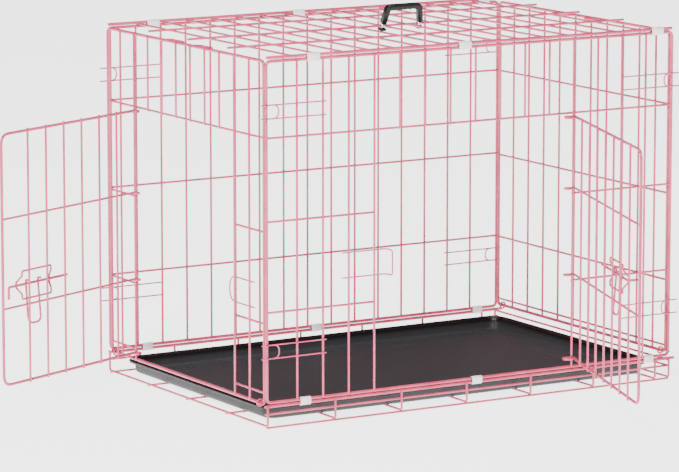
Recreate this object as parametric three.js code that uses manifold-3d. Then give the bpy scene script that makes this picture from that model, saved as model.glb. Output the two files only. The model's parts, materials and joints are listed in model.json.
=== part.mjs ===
// A folding wire dog crate with an end door, a front door, a slide-out tray and a carry handle.
// Millimetres, +Z up. The origin is the plan centre, on the surface that the crate stands on.
// Each wire is a bar whose square section has the area of the round wire.
import * as THREE from "three";
import { mergeVertices } from "three/addons/utils/BufferGeometryUtils.js";
import Module from "manifold-3d";

const wasm = await Module();
wasm.setup();

// Wire stock
const FRAME_WIRE = 4.2;
const MESH_WIRE = 2.9;
const THIN_WIRE = 1.9;
const BOLT_WIRE = 3.6;
const GAP = 0.3;
const LAP = 2.3; // centre distance of two mesh wires welded across each other

// Body, between the centres of the frame wires
const HALF_L = 305;
const HALF_W = 207.2;
const PANEL_BOTTOM = 33;
const PANEL_TOP = 461;
const UPPER_RAIL = 365.7;
const PITCH = 37.5; // spacing of the upright wires
const END_HALF_W = 201.8;

// Doors: leaf lengths, and how far each stands open
const FRONT_JAMB = 4 * PITCH;
const END_JAMB = 3.5 * PITCH;
const FRONT_LEAF = 303;
const END_LEAF = 267;
const FRONT_OPEN = THREE.MathUtils.degToRad(71);
const END_OPEN = THREE.MathUtils.degToRad(66);
const DOOR_TOP = 360;
const HINGE_EYE = 3.6;
const END_DOOR_PITCH = 36.25;

// Heights of the rails
const FRONT_RAILS = [147, 261];
const BACK_RAILS = [133, 249.5];
const END_RAILS = [132.5, 248];
const FRONT_DOOR_RAILS = [44, 154.5, 267.5];
const END_DOOR_RAILS = [40, 138, 252.5];
const LEFT_PIVOT = 31;
const RIGHT_PIVOT = 36.6;
const END_SECOND_RAIL = 45;

// Base and tray
const WIRE_STACK = 4.7; // centre distance of two frame wires held in one sleeve
const RIM_HEIGHT = PANEL_BOTTOM - WIRE_STACK;
const MID_HEIGHT = 18.6;
const CROSS_PITCH = 98;
const CROSS_COUNT = 7;
const LONG_FLOOR_WIRES = [-HALF_W, -HALF_W / 2, 0, HALF_W / 2, HALF_W];
const TRAY_HALF_L = 297;
const TRAY_HALF_W = 190;
const TRAY_BOTTOM = 5.2;
const TRAY_TOP = 24.4;
const TRAY_WALL = 2;
const TRAY_FLANGE = 7;

// Top panel and handle
const TOP_EDGE_HEIGHT = PANEL_TOP + WIRE_STACK;
const TOP_CROSS_HEIGHT = 464.6;
const TOP_LONG_HEIGHT = 467;
const TOP_LONG_WIRE = 3.2;
const HANDLE_X = PITCH / 2;
const HANDLE_LEAN = THREE.MathUtils.degToRad(15);

const powderCoat = new THREE.MeshStandardMaterial({ color: 0xe8a9b8, roughness: 0.35, metalness: 0 });
const blackPlastic = new THREE.MeshStandardMaterial({ color: 0x161617, roughness: 0.5, metalness: 0 });
const trayPlastic = new THREE.MeshStandardMaterial({ color: 0x2c2c2e, roughness: 0.6, metalness: 0 });
const whitePlastic = new THREE.MeshStandardMaterial({ color: 0xf1f0ee, roughness: 0.45, metalness: 0 });
const zincSteel = new THREE.MeshStandardMaterial({ color: 0xd9dcdc, roughness: 0.35, metalness: 0.8 });

const crate = new THREE.Group();

// ---- Solids -------------------------------------------------------------------------------

// The side of a square whose area is that of a round wire.
function squareSide(diameter) {
  return (diameter * Math.sqrt(Math.PI)) / 2;
}

// A closed geometry as a solid that can be joined and cut.
function solid(geometry) {
  const bare = geometry.clone();
  bare.deleteAttribute("normal");
  bare.deleteAttribute("uv");
  const merged = mergeVertices(bare, 1e-4);
  return new wasm.Manifold(
    new wasm.Mesh({
      numProp: 3,
      vertProperties: merged.attributes.position.array,
      triVerts: new Uint32Array(merged.index.array),
    }),
  );
}

// A straight wire between two points.
function bar(from, to, diameter) {
  const start = new THREE.Vector3(...from);
  const run = new THREE.Vector3(...to).sub(start);
  const side = squareSide(diameter);
  const geometry = new THREE.BoxGeometry(side, side, run.length());
  geometry.translate(0, 0, run.length() / 2);
  const turn = new THREE.Quaternion().setFromUnitVectors(
    new THREE.Vector3(0, 0, 1),
    run.normalize(),
  );
  geometry.applyQuaternion(turn);
  geometry.translate(...from);
  return solid(geometry);
}

// A path through given points, with one step of an extrusion from each point to the next.
class WirePath extends THREE.Curve {
  constructor(points) {
    super();
    this.points = points;
  }
  getPointAt(t) {
    const place = t * (this.points.length - 1);
    return this.points[Math.round(place)].clone();
  }
  getTangentAt(t) {
    const i = Math.round(t * (this.points.length - 1));
    const before = this.points[Math.max(i - 1, 0)];
    const here = this.points[i];
    const after = this.points[Math.min(i + 1, this.points.length - 1)];
    const arriving = here.clone().sub(before).normalize();
    const leaving = after.clone().sub(here).normalize();
    return arriving.add(leaving).normalize();
  }
}

// A bent wire: straight runs between the corners, each inner corner rounded.
function bentWire(corners, radius, diameter, cornerSteps = 3) {
  const at = corners.map((c) => new THREE.Vector3(...c));
  const points = [at[0]];
  for (let i = 1; i < at.length - 1; i++) {
    const back = at[i - 1].clone().sub(at[i]).normalize();
    const onward = at[i + 1].clone().sub(at[i]).normalize();
    const setback = radius / Math.tan(back.angleTo(onward) / 2);
    const start = at[i].clone().addScaledVector(back, setback);
    const end = at[i].clone().addScaledVector(onward, setback);
    points.push(...new THREE.QuadraticBezierCurve3(start, at[i], end).getPoints(cornerSteps));
  }
  points.push(at.at(-1));
  const half = squareSide(diameter) / 2;
  const section = new THREE.Shape([
    new THREE.Vector2(-half, -half),
    new THREE.Vector2(half, -half),
    new THREE.Vector2(half, half),
    new THREE.Vector2(-half, half),
  ]);
  const extrusion = { steps: points.length - 1, extrudePath: new WirePath(points), curveSegments: 1 };
  return solid(new THREE.ExtrudeGeometry(section, extrusion));
}

// A wire ring; turn says how the ring is turned from lying flat.
function ring(centre, radius, diameter, turn = [0, 0, 0]) {
  const geometry = new THREE.TorusGeometry(radius, diameter / 2, 4, 8);
  geometry.rotateX(turn[0]);
  geometry.rotateY(turn[1]);
  geometry.rotateZ(turn[2]);
  geometry.translate(...centre);
  return solid(geometry);
}

function block(low, high) {
  const size = high.map((v, i) => v - low[i]);
  const geometry = new THREE.BoxGeometry(...size);
  geometry.translate(...low.map((v, i) => v + size[i] / 2));
  return solid(geometry);
}

// Joins the pieces into one named mesh and hangs it in a group.
function node(name, pieces, material, parent = crate) {
  const made = wasm.Manifold.union(pieces).getMesh();
  const geometry = new THREE.BufferGeometry();
  geometry.setAttribute("position", new THREE.BufferAttribute(new Float32Array(made.vertProperties), 3));
  geometry.setIndex(new THREE.BufferAttribute(new Uint32Array(made.triVerts), 1));
  geometry.computeVertexNormals();
  const part = new THREE.Mesh(geometry, material);
  part.name = name;
  parent.add(part);
  return part;
}

// ---- Panels -------------------------------------------------------------------------------
// A panel is drawn in its own plane: u along it, v up it, w outwards.
const planes = {
  front: (u, v, w) => [u, -HALF_W - w, v],
  back: (u, v, w) => [u, HALF_W + w, v],
  left: (u, v, w) => [-HALF_L - w, u, v],
  right: (u, v, w) => [HALF_L + w, u, v],
  front_door: (u, v, w) => [-u, -w, v],
  end_door: (u, v, w) => [-u, w, v],
};

// Frame wires round a panel from (-u, low) to (u, high).
function frameOf(plane, u, low, high) {
  const over = squareSide(FRAME_WIRE) / 2;
  return [
    bar(plane(-u - over, low, 0), plane(u + over, low, 0), FRAME_WIRE),
    bar(plane(-u - over, high, 0), plane(u + over, high, 0), FRAME_WIRE),
    bar(plane(-u, low, 0), plane(-u, high, 0), FRAME_WIRE),
    bar(plane(u, low, 0), plane(u, high, 0), FRAME_WIRE),
  ];
}

function upright(plane, u, low, high, w = LAP) {
  return bar(plane(u, low, w), plane(u, high, w), MESH_WIRE);
}

function rail(plane, from, to, v, diameter = MESH_WIRE) {
  return bar(plane(from, v, 0), plane(to, v, 0), diameter);
}

// Upright places on a long panel and on an end panel, counted from the centre.
const longPlaces = Array.from({ length: 15 }, (_, i) => (i - 7) * PITCH);
const endPlaces = Array.from({ length: 10 }, (_, i) => (i - 4.5) * PITCH);

function frontPanel() {
  const plane = planes.front;
  const pieces = [
    ...frameOf(plane, HALF_L, PANEL_BOTTOM, PANEL_TOP),
    rail(plane, -HALF_L, HALF_L, UPPER_RAIL),
  ];
  for (const v of FRONT_RAILS) {
    pieces.push(rail(plane, -HALF_L, -FRONT_JAMB, v), rail(plane, FRONT_JAMB, HALF_L, v));
  }
  for (const u of longPlaces) {
    const inDoorway = Math.abs(u) < FRONT_JAMB;
    pieces.push(upright(plane, u, inDoorway ? UPPER_RAIL : PANEL_BOTTOM, PANEL_TOP));
  }
  node("front_panel", pieces, powderCoat);
}

function backPanel() {
  const plane = planes.back;
  const pieces = frameOf(plane, HALF_L, PANEL_BOTTOM, PANEL_TOP);
  for (const v of [...BACK_RAILS, UPPER_RAIL]) {
    pieces.push(rail(plane, -HALF_L, HALF_L, v));
  }
  for (const u of longPlaces) {
    pieces.push(upright(plane, u, PANEL_BOTTOM, PANEL_TOP));
  }
  node("back_panel", pieces, powderCoat);
}

function leftEndPanel() {
  const plane = planes.left;
  const pieces = [
    ...frameOf(plane, END_HALF_W, LEFT_PIVOT, PANEL_TOP),
    rail(plane, -END_HALF_W, END_HALF_W, UPPER_RAIL),
  ];
  for (const v of [END_SECOND_RAIL, ...END_RAILS]) {
    pieces.push(rail(plane, -END_HALF_W, -END_JAMB, v), rail(plane, END_JAMB, END_HALF_W, v));
  }
  for (const u of endPlaces) {
    const inDoorway = Math.abs(u) < END_JAMB;
    pieces.push(upright(plane, u, inDoorway ? UPPER_RAIL : LEFT_PIVOT, PANEL_TOP));
  }
  node("left_end_panel", pieces, powderCoat);
}

function rightEndPanel() {
  const plane = planes.right;
  const pieces = frameOf(plane, END_HALF_W, RIGHT_PIVOT, PANEL_TOP);
  for (const v of [END_SECOND_RAIL, ...END_RAILS, UPPER_RAIL]) {
    pieces.push(rail(plane, -END_HALF_W, END_HALF_W, v));
  }
  for (const u of endPlaces) {
    pieces.push(upright(plane, u, RIGHT_PIVOT, PANEL_TOP));
  }
  node("right_end_panel", pieces, powderCoat);
}

function topPanel() {
  const end = HALF_L - 1;
  const reach = HALF_W - 1;
  const pieces = [];
  for (const y of [-HALF_W, HALF_W]) {
    pieces.push(bar([-end, y, TOP_EDGE_HEIGHT], [end, y, TOP_EDGE_HEIGHT], FRAME_WIRE));
  }
  for (const y of [-HALF_W / 2, 0, HALF_W / 2]) {
    pieces.push(bar([4 - end, y, TOP_LONG_HEIGHT], [end - 4, y, TOP_LONG_HEIGHT], TOP_LONG_WIRE));
  }
  for (const x of longPlaces) {
    pieces.push(bar([x, -reach, TOP_CROSS_HEIGHT], [x, reach, TOP_CROSS_HEIGHT], MESH_WIRE));
  }
  node("top_panel", pieces, powderCoat);
}

// ---- Base, tray and hinges of the shell ------------------------------------------------------

function baseFrame() {
  const floorHeight = squareSide(MESH_WIRE) / 2;
  const crossHeight = floorHeight + LAP;
  const places = Array.from({ length: CROSS_COUNT }, (_, i) => -HALF_L + i * CROSS_PITCH);
  places.push(HALF_L);
  const reach = HALF_W + LAP;
  const floor = [];
  for (const y of LONG_FLOOR_WIRES) {
    floor.push(bar([-HALF_L, y, floorHeight], [HALF_L, y, floorHeight], MESH_WIRE));
  }
  for (const x of places) {
    floor.push(bar([x, -reach - 1.2, crossHeight], [x, reach + 1.2, crossHeight], MESH_WIRE));
  }
  node("base_floor_grid", floor, powderCoat);

  const legFoot = crossHeight + squareSide(MESH_WIRE) / 2 + GAP;
  for (const [side, sign] of [["front", -1], ["back", 1]]) {
    const y = sign * HALF_W;
    const rails = [
      bar([-HALF_L - 2, y, RIM_HEIGHT], [HALF_L + 9, y, RIM_HEIGHT], FRAME_WIRE),
      bar([-HALF_L - 2, y, MID_HEIGHT], [HALF_L + 2, y, MID_HEIGHT], MESH_WIRE),
    ];
    for (const x of places) {
      rails.push(bar([x, sign * reach, legFoot], [x, sign * reach, RIM_HEIGHT], MESH_WIRE));
    }
    node(`base_${side}_rails`, rails, powderCoat);
  }

  const endHalf = HALF_W - squareSide(FRAME_WIRE) / 2 - GAP;
  const stub = endHalf - 2;
  const end = [];
  for (const height of [MID_HEIGHT, RIM_HEIGHT - 2]) {
    end.push(bar([HALF_L, -endHalf, height], [HALF_L, endHalf, height], MESH_WIRE));
  }
  for (const y of [-stub, stub]) {
    end.push(bar([HALF_L, y, MID_HEIGHT], [HALF_L, y, RIM_HEIGHT - 2], MESH_WIRE));
  }
  node("base_end_rails", end, powderCoat);
}

// A rectangle with cut-off corners, extruded from a low to a high level.
function plate(halfX, halfY, corner, low, high) {
  const shape = new THREE.Shape([
    new THREE.Vector2(corner - halfX, -halfY),
    new THREE.Vector2(halfX - corner, -halfY),
    new THREE.Vector2(halfX - corner * 0.3, -halfY + corner * 0.3),
    new THREE.Vector2(halfX, corner - halfY),
    new THREE.Vector2(halfX, halfY - corner),
    new THREE.Vector2(halfX - corner * 0.3, halfY - corner * 0.3),
    new THREE.Vector2(halfX - corner, halfY),
    new THREE.Vector2(corner - halfX, halfY),
    new THREE.Vector2(corner * 0.3 - halfX, halfY - corner * 0.3),
    new THREE.Vector2(-halfX, halfY - corner),
    new THREE.Vector2(-halfX, corner - halfY),
    new THREE.Vector2(corner * 0.3 - halfX, -halfY + corner * 0.3),
  ]);
  const geometry = new THREE.ExtrudeGeometry(shape, { depth: high - low, bevelEnabled: false });
  geometry.translate(0, 0, low);
  return solid(geometry);
}

function tray() {
  const wallX = TRAY_HALF_L - TRAY_FLANGE;
  const wallY = TRAY_HALF_W - TRAY_FLANGE;
  const flange = plate(TRAY_HALF_L, TRAY_HALF_W, 24, TRAY_TOP - 5, TRAY_TOP);
  const pan = plate(wallX, wallY, 20, TRAY_BOTTOM, TRAY_TOP - 1);
  const inside = plate(wallX - TRAY_WALL, wallY - TRAY_WALL, 18, TRAY_BOTTOM + TRAY_WALL, TRAY_TOP + 1);
  node("tray", [flange.add(pan).subtract(inside)], trayPlastic);
}

// A sleeve round two frame wires that lie one on the other, which lets one panel turn on the next.
function hingeClip(name, x, y, z, length) {
  const wall = 0.8;
  const insideY = squareSide(FRAME_WIRE) / 2 + GAP;
  const insideZ = insideY + WIRE_STACK / 2;
  const shell = block(
    [x - length / 2, y - insideY - wall, z - insideZ - wall],
    [x + length / 2, y + insideY + wall, z + insideZ + wall],
  );
  const bore = block(
    [x - length, y - insideY, z - insideZ],
    [x + length, y + insideY, z + insideZ],
  );
  node(name, [shell.subtract(bore)], whitePlastic);
}

function hingeClips() {
  const bottomHeight = (PANEL_BOTTOM + RIM_HEIGHT) / 2;
  const topHeight = (PANEL_TOP + TOP_EDGE_HEIGHT) / 2;
  const columns = [
    ["left", -250, -238],
    ["mid", 5, -15.5],
    ["right", 272.5, 281],
  ];
  for (const [column, bottomX, topX] of columns) {
    const backX = column === "mid" ? 11.5 : bottomX;
    hingeClip(`clip_front_bottom_${column}`, bottomX, -HALF_W, bottomHeight, 15);
    hingeClip(`clip_front_top_${column}`, topX, -HALF_W, topHeight, 18);
    hingeClip(`clip_back_top_${column}`, topX, HALF_W, topHeight, 18);
    hingeClip(`clip_back_bottom_${column}`, backX, HALF_W, bottomHeight, 15);
  }
}

// ---- Small wire pieces ---------------------------------------------------------------------

// A thin wire loop at a corner of a long panel: two legs, and a bow round the corner that holds
// the end panel upright.
function cornerLoops() {
  const w = LAP + (MESH_WIRE + THIN_WIRE) / 2 + GAP;
  const loops = [
    ["front", -1, "left", -1],
    ["front", -1, "right", 1],
    ["back", 1, "left", -1],
    ["back", 1, "right", 1],
  ];
  for (const [side, sideSign, end, endSign] of loops) {
    const lower = side === "front" ? 90 : 97.5;
    for (const [level, low] of [["lower", lower], ["upper", 390.5]]) {
      const high = low + 17;
      const y = sideSign * (HALF_W + w);
      const tip = endSign * (HALF_L + 9.5);
      const inward = endSign * (HALF_L - 15);
      const foot = endSign * 222;
      const leg = (z) => bar([foot, y, z], [tip, y, z], THIN_WIRE);
      const bow = bentWire(
        [
          [endSign * (HALF_L + 1), y, high],
          [inward, y, high - 3],
          [inward, y, low + 3],
          [endSign * (HALF_L + 1), y, low],
        ],
        5,
        THIN_WIRE,
      );
      node(`corner_loop_${side}_${end}_${level}`, [leg(low), leg(high), bow], powderCoat);
    }
  }
}

// The loop on a latch jamb that the bolt shoots into. The front one ends in a staple that stands
// out through the shut door; the end one is a flat loop.
function strikeLoops() {
  const w = LAP - (MESH_WIRE + THIN_WIRE) / 2 - GAP;
  const front = (u, v, out = w) => planes.front(u, v, out);
  const staple = [
    front(-195, 181),
    front(-131, 181),
    front(-131, 181, 15),
    front(-131, 213, 15),
    front(-131, 213),
    front(-195, 213),
  ];
  node("front_strike_loop", [bentWire(staple, 5, THIN_WIRE)], powderCoat);
  const end = (u, v) => planes.left(u, v, w);
  const flat = [end(-176, 149), end(-114, 149), end(-114, 181), end(-176, 181)];
  node("end_strike_loop", [bentWire(flat, 15, THIN_WIRE, 5)], powderCoat);
}

// The eyes on the base that the bottom wire of each end panel turns in.
function pivotEyes() {
  const across = [Math.PI / 2, 0, 0];
  const eyeY = 190;
  for (const [end, endSign, height] of [["left", -1, LEFT_PIVOT], ["right", 1, RIGHT_PIVOT]]) {
    for (const [side, sideSign] of [["front", -1], ["back", 1]]) {
      const stemX = endSign * (HALF_L + 4.2);
      const stemEnd = HALF_W - squareSide(FRAME_WIRE) / 2 - GAP;
      const eye = ring([endSign * HALF_L, sideSign * eyeY, height], 4.2, 2.3, across);
      const stem = bar([stemX, sideSign * eyeY, height], [stemX, sideSign * stemEnd, height], 2.3);
      node(`pivot_eye_${side}_${end}`, [eye, stem], powderCoat);
    }
  }
}

// The wire loops at the top of each end panel that reach in under the top panel.
function topHooks() {
  for (const [end, endSign] of [["left", -1], ["right", 1]]) {
    for (const [side, sideSign] of [["front", -1], ["back", 1]]) {
      const start = endSign * (HALF_L - squareSide(FRAME_WIRE) / 2 - GAP);
      const tip = endSign * (HALF_L - 11);
      const inner = sideSign * 0.5 * PITCH;
      const outer = sideSign * 1.5 * PITCH;
      const corners = [
        [start, inner, PANEL_TOP],
        [tip, inner + sideSign * 2, PANEL_TOP],
        [tip, outer - sideSign * 2, PANEL_TOP],
        [start, outer, PANEL_TOP],
      ];
      node(`top_hook_${side}_${end}`, [bentWire(corners, 3, MESH_WIRE)], powderCoat);
    }
  }
}

// ---- Doors ---------------------------------------------------------------------------------
// A door is drawn shut, its hinge at u = 0 and its free edge at u = leaf, then its group is turned
// open. The rails hang outside the panel by the radius of the hinge eyes, and
// the uprights are welded to their inner side.

function doorLeaf(name, leaf, rails, uprightCount, pitch, group) {
  const plane = (u, v, w) => planes[name](u, v, w + HINGE_EYE);
  const [lowest, ...inner] = rails;
  const frame = bentWire(
    [plane(3, DOOR_TOP, 0), plane(leaf, DOOR_TOP, 0), plane(leaf, lowest, 0), plane(3, lowest, 0)],
    14,
    FRAME_WIRE,
    4,
  );
  const pieces = [frame];
  for (const v of inner) {
    pieces.push(bar(plane(3, v, 0), plane(leaf, v, 0), MESH_WIRE));
  }
  for (const v of [DOOR_TOP, ...rails]) {
    pieces.push(ring([0, 0, v], HINGE_EYE, MESH_WIRE));
    pieces.push(bar(plane(0, v, 0), plane(6, v, 0), MESH_WIRE));
  }
  for (let i = 1; i <= uprightCount; i++) {
    pieces.push(
      bar(plane(i * pitch, lowest - 2, -LAP), plane(i * pitch, DOOR_TOP + 3, -LAP), MESH_WIRE),
    );
  }
  node(name, pieces, powderCoat, group);
}

// The slide latch: a keeper with bowed sides, a bolt that slides in it, and a finger loop that
// hangs on the bolt by two hooks and leans on the door below. The bolt's end is bent, by "hook".
function latch(door, group, height, keeperStart, loopStart, boltStart, hook) {
  const plane = (u, v, w) => planes[door](u, height + v, w + HINGE_EYE);
  const keeperOut = -LAP + (squareSide(MESH_WIRE) + squareSide(2.7)) / 2 + GAP;
  const boltOut = 3.9;
  const bowOut = boltOut + 3.3;
  const side = (u, sign) =>
    bentWire(
      [
        plane(u, 18, keeperOut),
        plane(u, 12, keeperOut),
        plane(u + sign * 4, 3, bowOut),
        plane(u + sign * 4, -3, bowOut),
        plane(u, -12, keeperOut),
        plane(u, -18, keeperOut),
      ],
      1.5,
      2.7,
      1,
    );
  const keeperEnd = keeperStart + 58;
  const keeper = [side(keeperStart, -1), side(keeperEnd, 1)];
  for (const v of [-18, 18]) {
    keeper.push(bar(plane(keeperStart - 1, v, keeperOut), plane(keeperEnd + 1, v, keeperOut), 2.7));
  }
  node(`${door}_latch_keeper`, keeper, powderCoat, group);

  const tipU = boltStart + 117;
  const bolt = bentWire(
    [
      plane(boltStart, 0, boltOut),
      plane(tipU, 0, boltOut),
      plane(tipU, -hook.down, boltOut + hook.out),
    ],
    2.5,
    BOLT_WIRE,
  );
  node(`${door}_latch_bolt`, [bolt], powderCoat, group);

  const loopEnd = loopStart + 24;
  const clear = 4;
  const foot = 3;
  const loop = bentWire(
    [
      plane(loopStart, clear, boltOut - 1),
      plane(loopStart, clear, boltOut + clear),
      plane(loopStart, -22, boltOut + clear),
      plane(loopStart - 1, -52, foot),
      plane(loopEnd + 1, -52, foot),
      plane(loopEnd, -22, boltOut + clear),
      plane(loopEnd, clear, boltOut + clear),
      plane(loopEnd, clear, boltOut - 1),
    ],
    2,
    3,
    2,
  );
  node(`${door}_latch_finger_loop`, [loop], powderCoat, group);
}

function doors() {
  const front = new THREE.Group();
  front.position.set(FRONT_JAMB, -HALF_W - LAP, 0);
  front.rotation.z = FRONT_OPEN;
  crate.add(front);
  doorLeaf("front_door", FRONT_LEAF, FRONT_DOOR_RAILS, 7, PITCH, front);
  latch("front_door", front, 187.5, 167, 171, 118, { down: 0, out: 13 });

  const end = new THREE.Group();
  end.position.set(-HALF_L - LAP, END_JAMB, 0);
  end.rotation.z = Math.PI / 2 - END_OPEN;
  crate.add(end);
  doorLeaf("end_door", END_LEAF, END_DOOR_RAILS, 6, END_DOOR_PITCH, end);
  latch("end_door", end, 163.5, 170.5, 188, 134, { down: 15, out: 0 });
}

// ---- Handle --------------------------------------------------------------------------------

function handle() {
  const group = new THREE.Group();
  group.position.set(HANDLE_X, 0, TOP_LONG_HEIGHT);
  group.rotation.x = HANDLE_LEAN;
  crate.add(group);
  const footX = 28;
  const topX = 24;
  const depth = 4.5;
  const outline = new THREE.Shape([
    new THREE.Vector2(-footX - 4, 3.5),
    new THREE.Vector2(-footX + 4, 3.5),
    new THREE.Vector2(-topX + 4, 21.5),
    new THREE.Vector2(topX - 4, 21.5),
    new THREE.Vector2(footX - 4, 3.5),
    new THREE.Vector2(footX + 4, 3.5),
    new THREE.Vector2(topX + 4, 28.5),
    new THREE.Vector2(-topX - 4, 28.5),
  ]);
  const grip = new THREE.ExtrudeGeometry(outline, { depth: 2 * depth, bevelEnabled: false });
  grip.rotateX(Math.PI / 2);
  grip.translate(0, depth, 0);
  node("handle_grip", [solid(grip)], blackPlastic, group);
  for (const [side, x] of [["left", -footX], ["right", footX]]) {
    const shell = block([x - 3.5, -3.2, -3.2], [x + 3.5, 3.2, 3.2]);
    const bore = block([x - 8, -2.4, -2.4], [x + 8, 2.4, 2.4]);
    node(`handle_strap_${side}`, [shell.subtract(bore)], zincSteel, group);
    node(`handle_pad_${side}`, [block([x - 4.5, -4.5, -6.2], [x + 4.5, 4.5, -3.5])], blackPlastic, group);
  }
}

baseFrame();
tray();
frontPanel();
backPanel();
leftEndPanel();
rightEndPanel();
topPanel();
hingeClips();
cornerLoops();
strikeLoops();
pivotEyes();
topHooks();
doors();
handle();

export default crate;
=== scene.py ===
import json
import bpy
import numpy as np
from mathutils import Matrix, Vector


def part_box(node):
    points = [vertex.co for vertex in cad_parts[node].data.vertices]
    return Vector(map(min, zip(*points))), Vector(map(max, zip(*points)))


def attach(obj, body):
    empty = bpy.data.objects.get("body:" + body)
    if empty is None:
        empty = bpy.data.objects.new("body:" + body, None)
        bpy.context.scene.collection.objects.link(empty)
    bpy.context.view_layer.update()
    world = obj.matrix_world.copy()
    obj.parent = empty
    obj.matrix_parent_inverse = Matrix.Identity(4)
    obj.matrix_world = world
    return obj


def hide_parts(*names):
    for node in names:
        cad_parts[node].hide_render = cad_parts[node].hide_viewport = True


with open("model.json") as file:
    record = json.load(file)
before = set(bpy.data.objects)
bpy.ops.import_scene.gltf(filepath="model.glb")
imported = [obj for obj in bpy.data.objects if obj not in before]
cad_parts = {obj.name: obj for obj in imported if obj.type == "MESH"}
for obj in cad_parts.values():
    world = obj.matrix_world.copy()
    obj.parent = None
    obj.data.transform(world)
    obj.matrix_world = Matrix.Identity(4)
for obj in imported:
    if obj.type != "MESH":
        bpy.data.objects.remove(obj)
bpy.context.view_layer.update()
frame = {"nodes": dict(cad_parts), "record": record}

# ---- Camera ----------------------------------------------------------------------------------
# A long lens from the front, to the left of the crate and a little above it.
lens_data = bpy.data.cameras.new("camera")
lens_data.sensor_width = 36
lens_data.lens = 223.5
lens_data.clip_end = 100
camera = bpy.data.objects.new("camera", lens_data)
camera.location = (-2.8743, -4.6586, 1.105)
camera.rotation_euler = np.radians([80.49, 0, -31.0])
bpy.context.collection.objects.link(camera)
bpy.context.scene.camera = camera

# ---- Floor and light ---------------------------------------------------------------------------
# A plain white sweep, a large soft light above, a key light at the left and a weak one at the right.
world = bpy.data.worlds.new("studio")
world.use_nodes = True
world.node_tree.nodes["Background"].inputs["Color"].default_value = (1, 1, 1, 1)
# The sky is nearly dark as a light, but as bright as the floor where it is seen past the floor's edge.
seen = world.node_tree.nodes.new("ShaderNodeLightPath").outputs["Is Camera Ray"]
sky = world.node_tree.nodes.new("ShaderNodeMath")
sky.operation = "MULTIPLY_ADD"
sky.inputs[1].default_value = 3.2
sky.inputs[2].default_value = 0.12
world.node_tree.links.new(seen, sky.inputs[0])
world.node_tree.links.new(sky.outputs[0], world.node_tree.nodes["Background"].inputs["Strength"])
bpy.context.scene.world = world

floor_mesh = bpy.data.meshes.new("floor")
floor_mesh.from_pydata([(-30, -30, 0), (30, -30, 0), (30, 30, 0), (-30, 30, 0)], [], [(0, 1, 2, 3)])
floor = bpy.data.objects.new("floor", floor_mesh)
floor_paint = bpy.data.materials.new("floor_paint")
floor_paint.use_nodes = True
paint = floor_paint.node_tree.nodes["Principled BSDF"].inputs
paint["Base Color"].default_value = (0.5, 0.5, 0.5, 1)
paint["Roughness"].default_value = 0.9
paint["Emission Color"].default_value = (1, 1, 1, 1)
paint["Emission Strength"].default_value = 3.2
floor_mesh.materials.append(floor_paint)
bpy.context.collection.objects.link(floor)


def soft_light(name, place, target, width, height, watts):
    """A rectangular light at place that faces target."""
    lamp = bpy.data.lights.new(name, "AREA")
    lamp.shape = "RECTANGLE"
    lamp.size = width
    lamp.size_y = height
    lamp.energy = watts
    stand = bpy.data.objects.new(name, lamp)
    bpy.context.collection.objects.link(stand)
    stand.location = place
    stand.rotation_euler = (Vector(place) - Vector(target)).to_track_quat("Z", "Y").to_euler()


soft_light("key", (-2.6, -2.2, 2.6), (0, 0, 0.2), 0.7, 0.7, 260)
soft_light("overhead", (0.3, 0.6, 3.2), (0, 0, 0.2), 1.2, 1.2, 50)
soft_light("right", (3.0, -1.6, 1.4), (0, 0, 0.2), 1.0, 1.4, 12)

# ---- Front panel -------------------------------------------------------------------------------
# A welded grid of steel wire in a frame bent from thicker rod, coated with pink powder. The middle
# third is the doorway, so the uprights there stop at the upper rail.
FRAME_R = 2.1  # radii of the wires, in millimetres
MESH_R = 1.45
THIN_R = 0.95
LAP = 2.3  # distance between the centres of two mesh wires welded across each other
FRAME_REACH = FRAME_R * 0.886  # half the side of the CAD's frame wire, a square of equal area
PITCH = 37.5


def limits(node):
    """Lowest and highest corner of a CAD node, in millimetres."""
    low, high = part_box(node)
    return np.array(low) * 1000, np.array(high) * 1000


def rounded(corners, radius, closed=False, steps=6):
    """A path through the corners, each turned by a parabola that starts and ends one setback away."""
    at = [np.array(c, float) for c in corners]
    count = len(at)
    t = np.linspace(0, 1, steps + 1)[:, None]
    parts = []
    for i in range(count):
        if not closed and i in (0, count - 1):
            parts.append(at[i][None])
            continue
        before, here, after = at[i - 1], at[i], at[(i + 1) % count]
        back = (before - here) / np.linalg.norm(before - here)
        onward = (after - here) / np.linalg.norm(after - here)
        half = np.arccos(np.clip(back @ onward, -1, 1)) / 2
        setback = radius / np.tan(half)
        first, last = here + back * setback, here + onward * setback
        parts.append((1 - t) ** 2 * first + 2 * t * (1 - t) * here + t**2 * last)
    return np.concatenate(parts)


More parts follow.
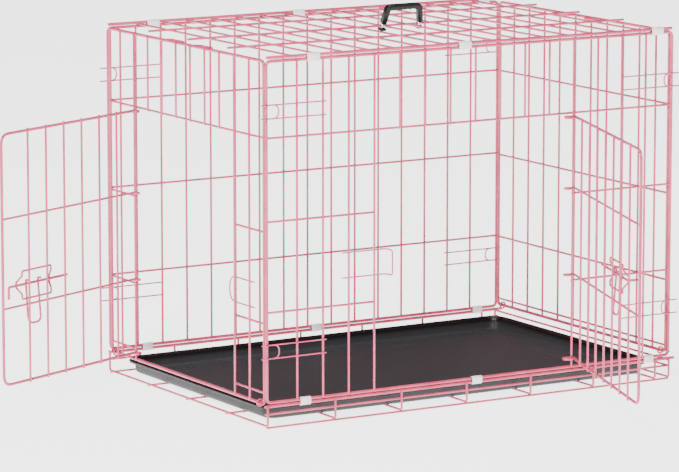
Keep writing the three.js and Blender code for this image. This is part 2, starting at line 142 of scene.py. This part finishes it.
def wire(path, radius, closed=False, sides=12):
    """A round wire: circles square to the path, joined ring to ring. Each free end is domed by three
    rings that shrink as they run past the end."""
    path = np.array(path, float)
    radii = np.full(len(path), float(radius))
    if not closed:
        start = path[0] - path[1]
        end = path[-1] - path[-2]
        start, end = start / np.linalg.norm(start), end / np.linalg.norm(end)
        reach = np.array([0.5, 0.36, 0.15])[:, None] * radius
        shrink = np.array([0.35, 0.75, 0.95]) * radius
        path = np.concatenate([path[0] + start * reach, path, path[-1] + end * reach[::-1]])
        radii = np.concatenate([shrink, radii, shrink[::-1]])
        steps = np.diff(path, axis=0)
        steps = steps / np.linalg.norm(steps, axis=1)[:, None]
        along = np.concatenate([steps[:1], steps[:-1] + steps[1:], steps[-1:]])
    else:
        steps = np.roll(path, -1, axis=0) - path
        steps = steps / np.linalg.norm(steps, axis=1)[:, None]
        along = steps + np.roll(steps, 1, axis=0)
    along = along / np.linalg.norm(along, axis=1)[:, None]
    side = np.cross(along, (0.31, 0.47, 0.83))
    side = side / np.linalg.norm(side, axis=1)[:, None]
    up = np.cross(along, side)
    turn = np.linspace(0, 2 * np.pi, sides, endpoint=False)
    circle = np.cos(turn)[None, :, None] * side[:, None] + np.sin(turn)[None, :, None] * up[:, None]
    points = path[:, None] + radii[:, None, None] * circle
    return points.reshape(-1, 3), net(len(path), sides, closed)


def net(rings, sides, closed):
    """Faces of a tube of rings, each ring joined to the next; an open tube gets a cap at each end."""
    spans = rings if closed else rings - 1
    ring, spoke = np.meshgrid(np.arange(spans), np.arange(sides), indexing="ij")
    onward, beside = (ring + 1) % rings, (spoke + 1) % sides
    quads = np.stack(
        [ring * sides + spoke, ring * sides + beside, onward * sides + beside, onward * sides + spoke],
        axis=-1,
    ).reshape(-1, 4)
    faces = quads.tolist()
    if not closed:
        faces.append(list(range(sides))[::-1])
        faces.append(list(range((rings - 1) * sides, rings * sides)))
    return faces


def bead(centre, size=1.9):
    """A weld bead: a ball of four rings between two poles' small caps."""
    height = np.radians([-70, -28, 28, 70])
    turn = np.linspace(0, 2 * np.pi, 8, endpoint=False)
    across = np.cos(height)[:, None] * np.stack([np.cos(turn), np.sin(turn)])[:, None]
    up = np.broadcast_to(np.sin(height)[:, None], (4, 8))
    ball = np.stack([across[0], across[1], up], axis=-1) * size + np.array(centre)
    return ball.reshape(-1, 3), net(4, 8, False)


def piece(name, parts, body, material, nodes=()):
    """One object from several closed shells, given in millimetres and stored in metres."""
    points, faces, used = [], [], 0
    for part_points, part_faces in parts:
        points.append(part_points)
        faces += [[used + v for v in face] for face in part_faces]
        used += len(part_points)
    mesh = bpy.data.meshes.new(name)
    mesh.from_pydata((np.concatenate(points) * 0.001).tolist(), [], faces)
    mesh.polygons.foreach_set("use_smooth", [len(face) == 4 for face in faces])
    mesh.materials.append(material)
    made = bpy.data.objects.new(name, mesh)
    bpy.context.collection.objects.link(made)
    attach(made, body)
    if nodes:
        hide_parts(*nodes)
    return made


class Signal:
    """A value that varies over a surface, with arithmetic that adds Math nodes."""

    def __init__(self, finish, socket):
        self.finish = finish
        self.socket = socket

    def __add__(self, other):
        return self.finish.math("ADD", self, other)

    def __radd__(self, other):
        return self.finish.math("ADD", other, self)

    def __sub__(self, other):
        return self.finish.math("SUBTRACT", self, other)

    def __rsub__(self, other):
        return self.finish.math("SUBTRACT", other, self)

    def __mul__(self, other):
        return self.finish.math("MULTIPLY", self, other)

    def __rmul__(self, other):
        return self.finish.math("MULTIPLY", other, self)


class Finish:
    """A material, with one method that adds any node to it."""

    def __init__(self, name, **fixed):
        self.material = bpy.data.materials.new(name)
        self.material.use_nodes = True
        self.tree = self.material.node_tree
        self.shader = self.tree.nodes["Principled BSDF"]
        for socket, value in fixed.items():
            self.shader.inputs[socket.replace("_", " ")].default_value = value
        self.place = self.node("TexCoord", out="Object")

    def node(self, kind, settings=None, inputs=None, out=0):
        """A new node: its settings, then its sockets' values or links."""
        made = self.tree.nodes.new("ShaderNode" + kind)
        for key, value in (settings or {}).items():
            setattr(made, key, value)
        for key, value in (inputs or {}).items():
            if isinstance(value, Signal):
                self.tree.links.new(value.socket, made.inputs[key])
            else:
                made.inputs[key].default_value = value
        return Signal(self, made.outputs[out])

    def math(self, operation, *values):
        return self.node("Math", {"operation": operation}, dict(enumerate(values)))

    def noise(self, scale, detail=2.0, roughness=0.5):
        sockets = {"Vector": self.place, "Scale": scale, "Detail": detail, "Roughness": roughness}
        return self.node("TexNoise", inputs=sockets)

    def between(self, mask, low, high):
        """A colour that goes from low to high as the mask goes from 0 to 1."""
        sockets = {"Factor": mask, 6: (*low, 1), 7: (*high, 1)}
        return self.node("Mix", {"data_type": "RGBA"}, sockets, out=2)

    def stretch(self, value, low, high):
        """0 below low, 1 above high, and smooth between them."""
        sockets = {"Value": value, "From Min": low, "From Max": high}
        return self.node("MapRange", {"interpolation_type": "SMOOTHSTEP"}, sockets)

    def drive(self, socket, signal):
        self.tree.links.new(signal.socket, self.shader.inputs[socket])

    def relief(self, height, distance, strength=1.0):
        sockets = {"Height": height, "Distance": distance, "Strength": strength}
        self.drive("Normal", self.node("Bump", inputs=sockets))


# The powder: pink, slightly mottled, with the fine orange peel of a baked coat.
coat = Finish("pink_powder_coat", Coat_Weight=0.35, Coat_Roughness=0.12, Specular_IOR_Level=0.5)
cloudy = coat.noise(35, 3)
peel = coat.noise(900, 2)
speck = coat.noise(2600, 1)
deep_pink, bright_pink = (0.50, 0.045, 0.11), (0.62, 0.075, 0.155)
coat.drive("Base Color", coat.between(coat.stretch(cloudy, 0.3, 0.7), deep_pink, bright_pink))
coat.drive("Roughness", 0.24 + 0.12 * cloudy + 0.05 * peel)
coat.relief(peel + 0.3 * speck, 0.00006, 0.6)
pink = coat.material

front_low, front_high = limits("front_panel")
HALF_L = front_high[0] - FRAME_REACH
PANEL_Y = -front_high[1] + FRAME_REACH
BOTTOM = front_low[2] + FRAME_REACH
TOP = front_high[2] - FRAME_REACH
UPPER_RAIL = 365.7
FRONT_JAMB = 4 * PITCH


def on_front(u, v, w):
    """u along the panel, v up, w outwards."""
    return (u, -PANEL_Y - w, v)


def on_back(u, v, w):
    return (u, PANEL_Y + w, v)


def panel_frame(plane, half, low, high):
    """One rod bent into a rectangle with rounded corners."""
    corners = [plane(-half, low, 0), plane(half, low, 0), plane(half, high, 0), plane(-half, high, 0)]
    return wire(rounded(corners, 7, closed=True), FRAME_R, closed=True)


def grid(plane, uprights, rails, w=LAP):
    """Uprights as (u, low, high) and rails as (v, from, to), with a weld bead at each crossing."""
    parts = [wire([plane(u, low, w), plane(u, high, w)], MESH_R) for u, low, high in uprights]
    parts += [wire([plane(a, v, 0), plane(b, v, 0)], MESH_R) for v, a, b in rails]
    for u, low, high in uprights:
        for v, a, b in rails:
            if a - 1 <= u <= b + 1 and low - 1 <= v <= high + 1:
                parts.append(bead(plane(u, v, w * 0.55)))
    return parts


long_places = (np.arange(15) - 7) * PITCH
uprights = [
    (u, UPPER_RAIL if abs(u) < FRONT_JAMB - 1 else BOTTOM, TOP) for u in long_places
]
rails = [(UPPER_RAIL, -HALF_L, HALF_L)]
for v in (147, 261):
    rails += [(v, -HALF_L, -FRONT_JAMB), (v, FRONT_JAMB, HALF_L)]
parts = [panel_frame(on_front, HALF_L, BOTTOM, TOP)] + grid(on_front, uprights, rails)
piece("front_panel_wires", parts, "shell", pink, ["front_panel"])

# ---- Back panel --------------------------------------------------------------------------------
# The same rod and wire as the front panel, with no doorway.
uprights = [(u, BOTTOM, TOP) for u in long_places]
rails = [(v, -HALF_L, HALF_L) for v in (133, 249.5, UPPER_RAIL)]
parts = [panel_frame(on_back, HALF_L, BOTTOM, TOP)] + grid(on_back, uprights, rails)
piece("back_panel_wires", parts, "shell", pink, ["back_panel"])

# ---- End panels --------------------------------------------------------------------------------
# Two welded grids that stand between the long panels and fold down inside. The left one has the
# doorway of the end door, and each turns on its lowest rod.
END_JAMB = 3.5 * PITCH
end_places = (np.arange(10) - 4.5) * PITCH
left_low, left_high = limits("left_end_panel")
right_low = limits("right_end_panel")[0]
END_HALF = left_high[1] - FRAME_REACH
LEFT_PIVOT = left_low[2] + FRAME_REACH
RIGHT_PIVOT = right_low[2] + FRAME_REACH


def on_left(u, v, w):
    return (-HALF_L - w, u, v)


def on_right(u, v, w):
    return (HALF_L + w, u, v)


uprights = [(u, UPPER_RAIL if abs(u) < END_JAMB - 1 else LEFT_PIVOT, TOP) for u in end_places]
rails = [(UPPER_RAIL, -END_HALF, END_HALF)]
for v in (45, 132.5, 248):
    rails += [(v, -END_HALF, -END_JAMB), (v, END_JAMB, END_HALF)]
parts = [panel_frame(on_left, END_HALF, LEFT_PIVOT, TOP)] + grid(on_left, uprights, rails)
piece("left_end_wires", parts, "left_end", pink, ["left_end_panel"])

uprights = [(u, RIGHT_PIVOT, TOP) for u in end_places]
rails = [(v, -END_HALF, END_HALF) for v in (45, 132.5, 248, UPPER_RAIL)]
parts = [panel_frame(on_right, END_HALF, RIGHT_PIVOT, TOP)] + grid(on_right, uprights, rails)
piece("right_end_wires", parts, "right_end", pink, ["right_end_panel"])

# ---- Top panel ---------------------------------------------------------------------------------
# Two edge rods that lie on the long panels' top rods, cross wires between them, and three long
# wires welded on top.
top_low, top_high = limits("top_panel")
EDGE_Z = TOP + 4.7
CROSS_Z = top_low[2] + 1.28
end_x = top_high[0]
LONG_Z = top_high[2] - 1.42
parts = [wire([(-end_x, s * PANEL_Y, EDGE_Z), (end_x, s * PANEL_Y, EDGE_Z)], FRAME_R) for s in (-1, 1)]
for y in (-PANEL_Y / 2, 0, PANEL_Y / 2):
    parts.append(wire([(4 - end_x, y, LONG_Z), (end_x - 4, y, LONG_Z)], 1.55))
    parts += [bead((x, y, CROSS_Z + 1.2)) for x in long_places]
for x in long_places:
    parts.append(wire([(x, 1 - PANEL_Y, CROSS_Z), (x, PANEL_Y - 1, CROSS_Z)], MESH_R))
piece("top_panel_wires", parts, "shell", pink, ["top_panel"])

# ---- Base frame --------------------------------------------------------------------------------
# A cradle of wire under the panels: long floor wires, cross wires bent up at both ends, and rods
# along the sides. The tray slides in at the left end.
RIM_Z = BOTTOM - 4.7
MID_Z = 18.6
FLOOR_Z = MESH_R
CROSS_FLOOR_Z = MESH_R + 2.2
posts_y = PANEL_Y + LAP
parts = []
for y in np.array([-1, -0.5, 0, 0.5, 1]) * PANEL_Y:
    parts.append(wire([(-HALF_L, y, FLOOR_Z), (HALF_L, y, FLOOR_Z)], MESH_R))
for s in (-1, 1):
    parts.append(wire([(-HALF_L - 2, s * PANEL_Y, RIM_Z), (HALF_L + 9, s * PANEL_Y, RIM_Z)], FRAME_R))
    parts.append(wire([(-HALF_L - 2, s * PANEL_Y, MID_Z), (HALF_L + 2, s * PANEL_Y, MID_Z)], MESH_R))
for x in np.append(-HALF_L + 98 * np.arange(7), HALF_L):
    corners = [(x, -posts_y, RIM_Z), (x, -posts_y, CROSS_FLOOR_Z)]
    corners += [(x, posts_y, CROSS_FLOOR_Z), (x, posts_y, RIM_Z)]
    parts.append(wire(rounded(corners, 4), MESH_R))
    for s in (-1, 1):
        parts += [bead((x, s * (PANEL_Y + 1.2), z)) for z in (MID_Z, RIM_Z)]
for z in (MID_Z, RIM_Z - 2):
    parts.append(wire([(HALF_L, -PANEL_Y, z), (HALF_L, PANEL_Y, z)], MESH_R))
base_nodes = ["base_floor_grid", "base_front_rails", "base_back_rails", "base_end_rails"]
piece("base_frame_wires", parts, "shell", pink, base_nodes)

# ---- Tray --------------------------------------------------------------------------------------
# A vacuum-formed pan of black plastic with a rolled rim. Its floor has a fine leather grain and a
# raised lattice in a band along the walls. The lattice's ridges are painted lighter: a painted highlight.
tray_low, tray_high = limits("tray")
RIM_TOP = tray_high[2]
TRAY_BASE = tray_low[2]


def rounded_rectangle(half_x, half_y, corner, per_corner=10):
    """Four quarter circles, joined by straight edges."""
    turn = np.linspace(0, np.pi / 2, per_corner)[None] + np.arange(4)[:, None] * np.pi / 2
    centre_x = (half_x - corner) * np.array([1, -1, -1, 1])[:, None]
    centre_y = (half_y - corner) * np.array([1, 1, -1, -1])[:, None]
    return np.stack([centre_x + corner * np.cos(turn), centre_y + corner * np.sin(turn)], -1).reshape(-1, 2)


def lofted(profile, half_x, half_y, corner):
    """Rounded rectangles, one for each (inset, height) of the profile, joined in turn."""
    rings = []
    for inset, height in profile:
        loop = rounded_rectangle(half_x - inset, half_y - inset, max(corner - inset, 6))
        rings.append(np.column_stack([loop, np.full(len(loop), height)]))
    return np.concatenate(rings), net(len(rings), len(rings[0]), False)


floor_top = TRAY_BASE + 2
profile = [
    (60, floor_top), (24, floor_top), (14, floor_top + 0.2), (11.5, floor_top + 1.4), (10, floor_top + 4),
    (9, RIM_TOP - 5), (8.4, RIM_TOP - 2.4), (7.4, RIM_TOP - 1.6), (6.4, RIM_TOP - 1.9), (5.6, RIM_TOP - 1.1),
    (4.6, RIM_TOP - 0.2), (3.2, RIM_TOP), (1.6, RIM_TOP - 0.3), (0.5, RIM_TOP - 1.3), (0, RIM_TOP - 2.8),
    (0.1, RIM_TOP - 4.6), (1.0, RIM_TOP - 5), (1.6, RIM_TOP - 4.4), (2.2, RIM_TOP - 3), (7.2, RIM_TOP - 3.6),
    (7.6, RIM_TOP - 6), (8.4, TRAY_BASE + 4.4), (10, TRAY_BASE + 1.4), (12.5, TRAY_BASE + 0.2),
    (20, TRAY_BASE),
]
points, faces = lofted(profile[::-1], tray_high[0], tray_high[1], 26)
black = Finish("tray_plastic", Specular_IOR_Level=0.35)
grain = black.noise(420, 4, 0.6)
axes = black.node("SeparateXYZ", inputs={0: black.place})
along_x, along_y = axes, Signal(black, axes.socket.node.outputs[1])
to_end = tray_high[0] * 0.001 - black.math("ABSOLUTE", along_x)
to_side = tray_high[1] * 0.001 - black.math("ABSOLUTE", along_y)
from_wall = black.math("MINIMUM", to_end, to_side)
band = black.stretch(from_wall, 0.013, 0.018) * (1 - black.stretch(from_wall, 0.052, 0.058))
diagonal = 2 * np.pi / 0.011
lattice = black.math("SINE", (along_x + along_y) * diagonal)
lattice = lattice * black.math("SINE", (along_x - along_y) * diagonal)
raised = band * black.stretch(lattice, -0.1, 0.5)
height_of = Signal(black, axes.socket.node.outputs[2])
on_rim = black.stretch(height_of, (floor_top + 7) * 0.001, (RIM_TOP - 3) * 0.001)
# Painted highlight: the raised lattice is coloured lighter than the floor between its ridges, on top of its
# real relief and gloss.
floor_grey_and_lattice_highlight = black.between(raised, (0.026, 0.029, 0.032), (0.052, 0.056, 0.060))
rim_mix = {"Factor": on_rim, 6: floor_grey_and_lattice_highlight, 7: (0.003, 0.003, 0.0034, 1)}
black.drive("Base Color", black.node("Mix", {"data_type": "RGBA"}, rim_mix, out=2))
black.drive("Roughness", 0.42 + 0.16 * grain - 0.2 * on_rim - 0.2 * raised)
black.relief(0.12 * grain + raised, 0.0022, 1.0)
piece("tray_pan", [(points, faces)], "floor_tray", black.material, ["tray"])

# ---- Hinge sleeves -----------------------------------------------------------------------------
# Short white plastic sleeves round two rods that lie together. They join the top to the long
# panels, and the long panels to the base, and let each turn on the next.
white = Finish("white_plastic", Coat_Weight=0.2)
mottle = white.noise(260, 3)
white.drive("Base Color", white.between(mottle, (0.80, 0.79, 0.78), (0.88, 0.87, 0.86)))
white.drive("Roughness", 0.3 + 0.15 * mottle)
white.relief(white.noise(1500, 2), 0.00004, 0.5)


def sleeve(low, high, wall=0.75):
    """A slot-shaped loop with a wall, whose section is a rectangle with rounded ends, carried round
    a racetrack that has half circles at the top and bottom."""
    centre = (low + high) / 2
    radius = (high[1] - low[1]) / 2 - wall / 2
    straight = (high[2] - low[2]) / 2 - wall / 2 - radius
    turn = np.linspace(0, 2 * np.pi, 40, endpoint=False) + np.pi / 40
    normal = np.stack([np.cos(turn), np.sin(turn)], -1)
    track = radius * normal + np.stack([0 * turn, straight * np.sign(np.sin(turn))], -1)
    half = (high[0] - low[0]) / 2
    edge = [[-1, -0.6], [-0.92, -1], [0.92, -1], [1, -0.6], [1, 0.6], [0.92, 1], [-0.92, 1], [-1, 0.6]]
    edge = np.array(edge)
    lengthwise = np.sign(edge[:, 0]) * (half - (1 - np.abs(edge[:, 0])) * 4)
    outward = edge[:, 1] * wall / 2
    across = track[:, None] + normal[:, None] * outward[None, :, None]
    points = np.concatenate([np.broadcast_to(lengthwise[None, :, None], (40, 8, 1)), across], -1) + centre
    return points.reshape(-1, 3), net_ring(40, 8)


def net_ring(rings, sides):
    """Faces of a tube of rings that closes on itself."""
    return net(rings, sides, True)


for node in [name for name in frame["nodes"] if name.startswith("clip_")]:
    low, high = limits(node)
    piece(node + "_sleeve", [sleeve(low, high)], "shell", white.material, [node])

# ---- Corner loops ------------------------------------------------------------------------------
# Thin spring wire loops welded outside the long panels. They stand past the corner and snap round
# the end panels to hold them upright.
for node in [name for name in frame["nodes"] if name.startswith("corner_loop_")]:
    low, high = limits(node)
    y = (low[1] + high[1]) / 2
    end = 1 if low[0] > 0 else -1
    tip, foot = (high[0], low[0]) if end > 0 else (low[0], high[0])
    z_low, z_high = low[2] + 0.84, high[2] - 0.84
    bow = [(end * (HALF_L + 3), y, z_high), (end * (HALF_L - 15), y, z_high),
           (end * (HALF_L - 15), y, z_low), (end * (HALF_L + 3), y, z_low)]
    parts = [wire([(foot, y, z), (tip, y, z)], THIN_R) for z in (z_low, z_high)]
    parts.append(wire(rounded(bow, 8.4, steps=10), THIN_R))
    outer = y + np.sign(-y) * 1.1
    parts += [bead((end * u, outer, z), 1.2) for z in (z_low, z_high) for u in (225, 262.5)]
    piece(node + "_wire", parts, "shell", pink, [node])

# ---- Strikes, pivot eyes and top hooks ---------------------------------------------------------
# Thin loops on the latch jambs for the bolts, eyes on the base round the end panels' lowest rods,
# and hooks at the top of the end panels.
w = -0.4
staple = [
    on_front(-195, 181, w), on_front(-131, 181, w), on_front(-131, 181, 15),
    on_front(-131, 213, 15), on_front(-131, 213, w), on_front(-195, 213, w),
]
piece("front_strike_wire", [wire(rounded(staple, 5), THIN_R)], "shell", pink, ["front_strike_loop"])
flat = [on_left(-176, 149, w), on_left(-114, 149, w), on_left(-114, 181, w), on_left(-176, 181, w)]
piece("end_strike_wire", [wire(rounded(flat, 15), THIN_R)], "left_end", pink, ["end_strike_loop"])

turn = np.linspace(0, 2 * np.pi, 24, endpoint=False)
for side_name, s in (("front", -1), ("back", 1)):
    for end_name, e, z in (("left", -1, LEFT_PIVOT), ("right", 1, RIGHT_PIVOT)):
        circle = np.stack([e * HALF_L + 4.2 * np.cos(turn), 0 * turn + s * 190, z + 4.2 * np.sin(turn)], -1)
        stem = wire([(e * (HALF_L + 4.2), s * 190, z), (e * (HALF_L + 4.2), s * (PANEL_Y - 2.3), z)], 1.1)
        name = f"pivot_eye_{side_name}_{end_name}"
        piece(name + "_wire", [wire(circle, 1.15, closed=True), stem], "shell", pink, [name])
        start, tip = e * (HALF_L - 2.4), e * (HALF_L - 11)
        a, b = s * 0.5 * PITCH, s * 1.5 * PITCH
        hook = [(start, a, TOP), (tip, a + s * 2, TOP), (tip, b - s * 2, TOP), (start, b, TOP)]
        name = f"top_hook_{side_name}_{end_name}"
        piece(name + "_wire", [wire(rounded(hook, 3.4), 1.4)], f"{end_name}_end", pink, [name])

# ---- Doors -------------------------------------------------------------------------------------
# Each door is a grid of wire whose rim is one rod with two rounded corners. Its rails end in eyes
# bent round the upright of the hinge jamb, so the rim hangs a little outside the panel. The door's
# own uprights are welded to the inner side of its rails.
DOOR_TOP = 360
EYE = 3.6
joints = {joint["name"]: joint for joint in frame["record"]["behaviour"]["joints"]}


def leaf_plane(hinge_joint, slide_joint, sign):
    """u from the hinge to the free edge, v up and w outwards, from the joints' places and axes."""
    hinge = np.array(joints[hinge_joint]["pos_m"]) * 1000
    along = np.array(joints[slide_joint]["axis"], float)
    out = sign * np.cross(along, (0, 0, 1))

    def plane(u, v, w):
        return np.array([hinge[0], hinge[1], v]) + along * u + out * (w + EYE)

    return plane


def eye(plane, v, reach):
    """A long eye round the jamb: a quarter turn on the hinge side, a straight run inwards by reach, a
    half turn, and a run back that stops short of the leaf."""
    near = np.radians([0, 22, 45, 68, 90])
    far = np.radians(np.arange(90, 271, 22.5))
    points = [plane(-EYE * np.sin(t), v, EYE * np.cos(t) - EYE) for t in near]
    points += [plane(-EYE * np.sin(t), v, EYE * np.cos(t) - EYE - reach) for t in far]
    return [*points, plane(EYE, v, -EYE + 0.3)]


def leaf(plane, length, rails, count, pitch, reach):
    """The rim rod, the rails with their eyes, which run inwards by reach, and the uprights."""
    low = rails[0]
    outer = rounded(
        [plane(4, DOOR_TOP, 0), plane(length, DOOR_TOP, 0), plane(length, low, 0), plane(4, low, 0)], 14
    )
    path = np.concatenate([eye(plane, DOOR_TOP, reach)[::-1], outer, eye(plane, low, reach)])
    parts = [wire(path, FRAME_R * 0.92)]
    for v in rails[1:]:
        parts.append(wire(np.concatenate([eye(plane, v, reach)[::-1], [plane(length, v, 0)]]), MESH_R))
    for i in range(1, count + 1):
        u = i * pitch
        parts.append(wire([plane(u, low - 2, -LAP), plane(u, DOOR_TOP + 3, -LAP)], MESH_R))
        parts += [bead(plane(u, v, -LAP * 0.55)) for v in [DOOR_TOP, *rails]]
    return parts


front_plane = leaf_plane("front_door_hinge", "front_bolt_slide", -1)
end_plane = leaf_plane("end_door_hinge", "end_bolt_slide", 1)
front_leaf = leaf(front_plane, 303, (44, 154.5, 267.5), 7, PITCH, 7)
end_leaf = leaf(end_plane, 267, (40, 138, 252.5), 6, 36.25, 2.5)
piece("front_door_leaf", front_leaf, "front_gate", pink, ["front_door"])
piece("end_door_leaf", end_leaf, "end_gate", pink, ["end_door"])

# ---- Latches -----------------------------------------------------------------------------------
# On each door a keeper of bent wire is welded on the uprights. A rod slides through it as the bolt,
# and a finger loop hooked over the rod hangs down and leans on the rail below.
KEEPER_W = 0.48
BOLT_W = 3.9
BOW_W = 7.2


def keeper(plane, z, start):
    """A wire frame whose two sides bow outwards over the bolt."""
    corners = []
    for u, s in ((start, -1), (start + 58, 1)):
        side = [(u, 18, KEEPER_W), (u, 12, KEEPER_W), (u + 4 * s, 3, BOW_W),
                (u + 4 * s, -3, BOW_W), (u, -12, KEEPER_W), (u, -18, KEEPER_W)]
        corners += side if s > 0 else side[::-1]
    path = rounded([plane(u, z + v, w) for u, v, w in corners], 2.2, closed=True, steps=5)
    return [wire(path, 1.3, closed=True)]


def bolt(plane, z, start, down, out):
    """A straight rod whose last part is bent down or outwards."""
    end = start + 117
    corners = [plane(start, z, BOLT_W), plane(end, z, BOLT_W), plane(end, z - down, BOLT_W + out)]
    return [wire(rounded(corners, 2.6), 1.7)]


def finger_loop(plane, z, start):
    """Two legs hooked over the bolt, joined by a round bend at the bottom."""
    end = start + 24
    out = BOLT_W + 4
    corners = [(start, 4, BOLT_W - 1), (start, 4, out), (start, -22, out), (start - 1, -52, 3),
               (end + 1, -52, 3), (end, -22, out), (end, 4, out), (end, 4, BOLT_W - 1)]
    at = [plane(u, z + v, w) for u, v, w in corners]
    first = rounded(at[:3], 2.4)[:-1]
    bend = rounded(at[2:6], 10.4, steps=10)[1:-1]
    last = rounded(at[5:], 2.4)[1:]
    return [wire(np.concatenate([first, bend, last]), 1.4)]


for prefix, plane, z, start, hook, rod, down, out in (
    ("front", front_plane, 187.5, 167, 171, 118, 0, 13),
    ("end", end_plane, 163.5, 170.5, 188, 134, 15, 0),
):
    node = prefix + "_door_latch_"
    piece(node + "keeper_wire", keeper(plane, z, start), prefix + "_gate", pink, [node + "keeper"])
    piece(node + "bolt_rod", bolt(plane, z, rod, down, out), prefix + "_bolt", pink, [node + "bolt"])
    piece(node + "loop_wire", finger_loop(plane, z, hook), prefix + "_loop", pink, [node + "finger_loop"])

# ---- Handle ------------------------------------------------------------------------------------
# A moulded black grip with finger scallops, on two straps bent round the top panel's middle wire,
# with a pad under each.
pivot = np.array(joints["handle_fold"]["pos_m"]) * 1000
LEAN = np.radians(15)
satin = Finish("handle_plastic", Specular_IOR_Level=0.3)
mould = satin.noise(500, 3)
satin.drive("Base Color", satin.between(mould, (0.003, 0.003, 0.0033), (0.007, 0.007, 0.0075)))
satin.drive("Roughness", 0.34 + 0.18 * mould)
satin.relief(satin.noise(1400, 2), 0.00005, 0.6)


def leaned(points):
    """Handle points turned about the wire by the lean, and put in place."""
    x, y, z = np.moveaxis(np.asarray(points, float), -1, 0)
    return np.stack([x, y * np.cos(LEAN) - z * np.sin(LEAN), y * np.sin(LEAN) + z * np.cos(LEAN)], -1) + pivot


def grip():
    """A rounded-rectangle section carried up one leg, along the bar and down the other leg. The
    bar's inner face has four shallow scallops."""
    centre = rounded([(-28, 0, 3.6), (-24, 0, 25), (24, 0, 25), (28, 0, 3.6)], 4.5, steps=8)
    bar = np.linspace(-17, 17, 41)
    split = len(centre) // 2
    centre = np.concatenate([centre[:split], np.stack([bar, 0 * bar, 0 * bar + 25], -1), centre[split:]])
    steps = np.diff(centre, axis=0)
    steps = steps / np.linalg.norm(steps, axis=1)[:, None]
    along = np.concatenate([steps[:1], steps[:-1] + steps[1:], steps[-1:]])
    along = along / np.linalg.norm(along, axis=1)[:, None]
    outward = np.cross((0, 1, 0), along) * -1
    turn = np.linspace(0, 2 * np.pi, 24, endpoint=False)
    power = 0.45
    flat_c = np.sign(np.cos(turn)) * np.abs(np.cos(turn)) ** power
    flat_s = np.sign(np.sin(turn)) * np.abs(np.sin(turn)) ** power
    on_bar = np.abs(centre[:, 0]) < 17.5
    scallop = np.where(on_bar & (centre[:, 2] > 24), 0.8 * np.sin(np.pi * (centre[:, 0] + 17) / 8.5) ** 2, 0)
    reach = 3.6 - np.where(flat_c < 0, scallop[:, None], 0)
    across = np.array([0, 1, 0]) * (4.4 * flat_s)[None, :, None]
    ring = centre[:, None] + outward[:, None] * (flat_c * reach)[..., None] + across
    return leaned(ring).reshape(-1, 3), net(len(centre), 24, False)


def strap(x):
    """A strip of metal bent round the wire, open at the top under the grip's foot."""
    turn = np.radians(np.linspace(-250, 70, 41))
    edge = np.array([[-3.4, 2.55], [3.4, 2.55], [3.4, 3.15], [-3.4, 3.15]])
    radial = np.stack([0 * turn, np.cos(turn), np.sin(turn)], -1)
    ring = radial[:, None] * edge[None, :, 1, None] + np.array([1, 0, 0]) * edge[None, :, 0, None]
    return leaned(ring + np.array([x, 0, 0])).reshape(-1, 3), net(41, 4, False)


def pad(x):
    """A cushion-cornered block: rings of a rounded square that shrink at the top and bottom."""
    rings = []
    for height, inset in ((-6.2, 0.8), (-6.0, 0.3), (-5.5, 0), (-4.2, 0), (-3.7, 0.3), (-3.5, 0.8)):
        loop = rounded_rectangle(4.5 - inset, 4.5 - inset, 1.4, 5)
        rings.append(np.column_stack([loop[:, 0] + x, loop[:, 1], np.full(len(loop), height)]))
    return leaned(np.array(rings)).reshape(-1, 3), net(6, 20, False)


steel = Finish("strap_steel", Metallic=1.0)
brushed = steel.noise(700, 3)
steel.drive("Base Color", steel.between(brushed, (0.55, 0.55, 0.56), (0.74, 0.74, 0.75)))
steel.drive("Roughness", 0.28 + 0.2 * brushed)
steel.relief(brushed, 0.00004, 0.5)
piece("handle_grip_moulding", [grip()], "carry_handle", satin.material, ["handle_grip"])
for side_name, x in (("left", -28), ("right", 28)):
    node = "handle_strap_" + side_name
    piece(node + "_strip", [strap(x)], "carry_handle", steel.material, [node])
    node = "handle_pad_" + side_name
    piece(node + "_block", [pad(x)], "carry_handle", satin.material, [node])
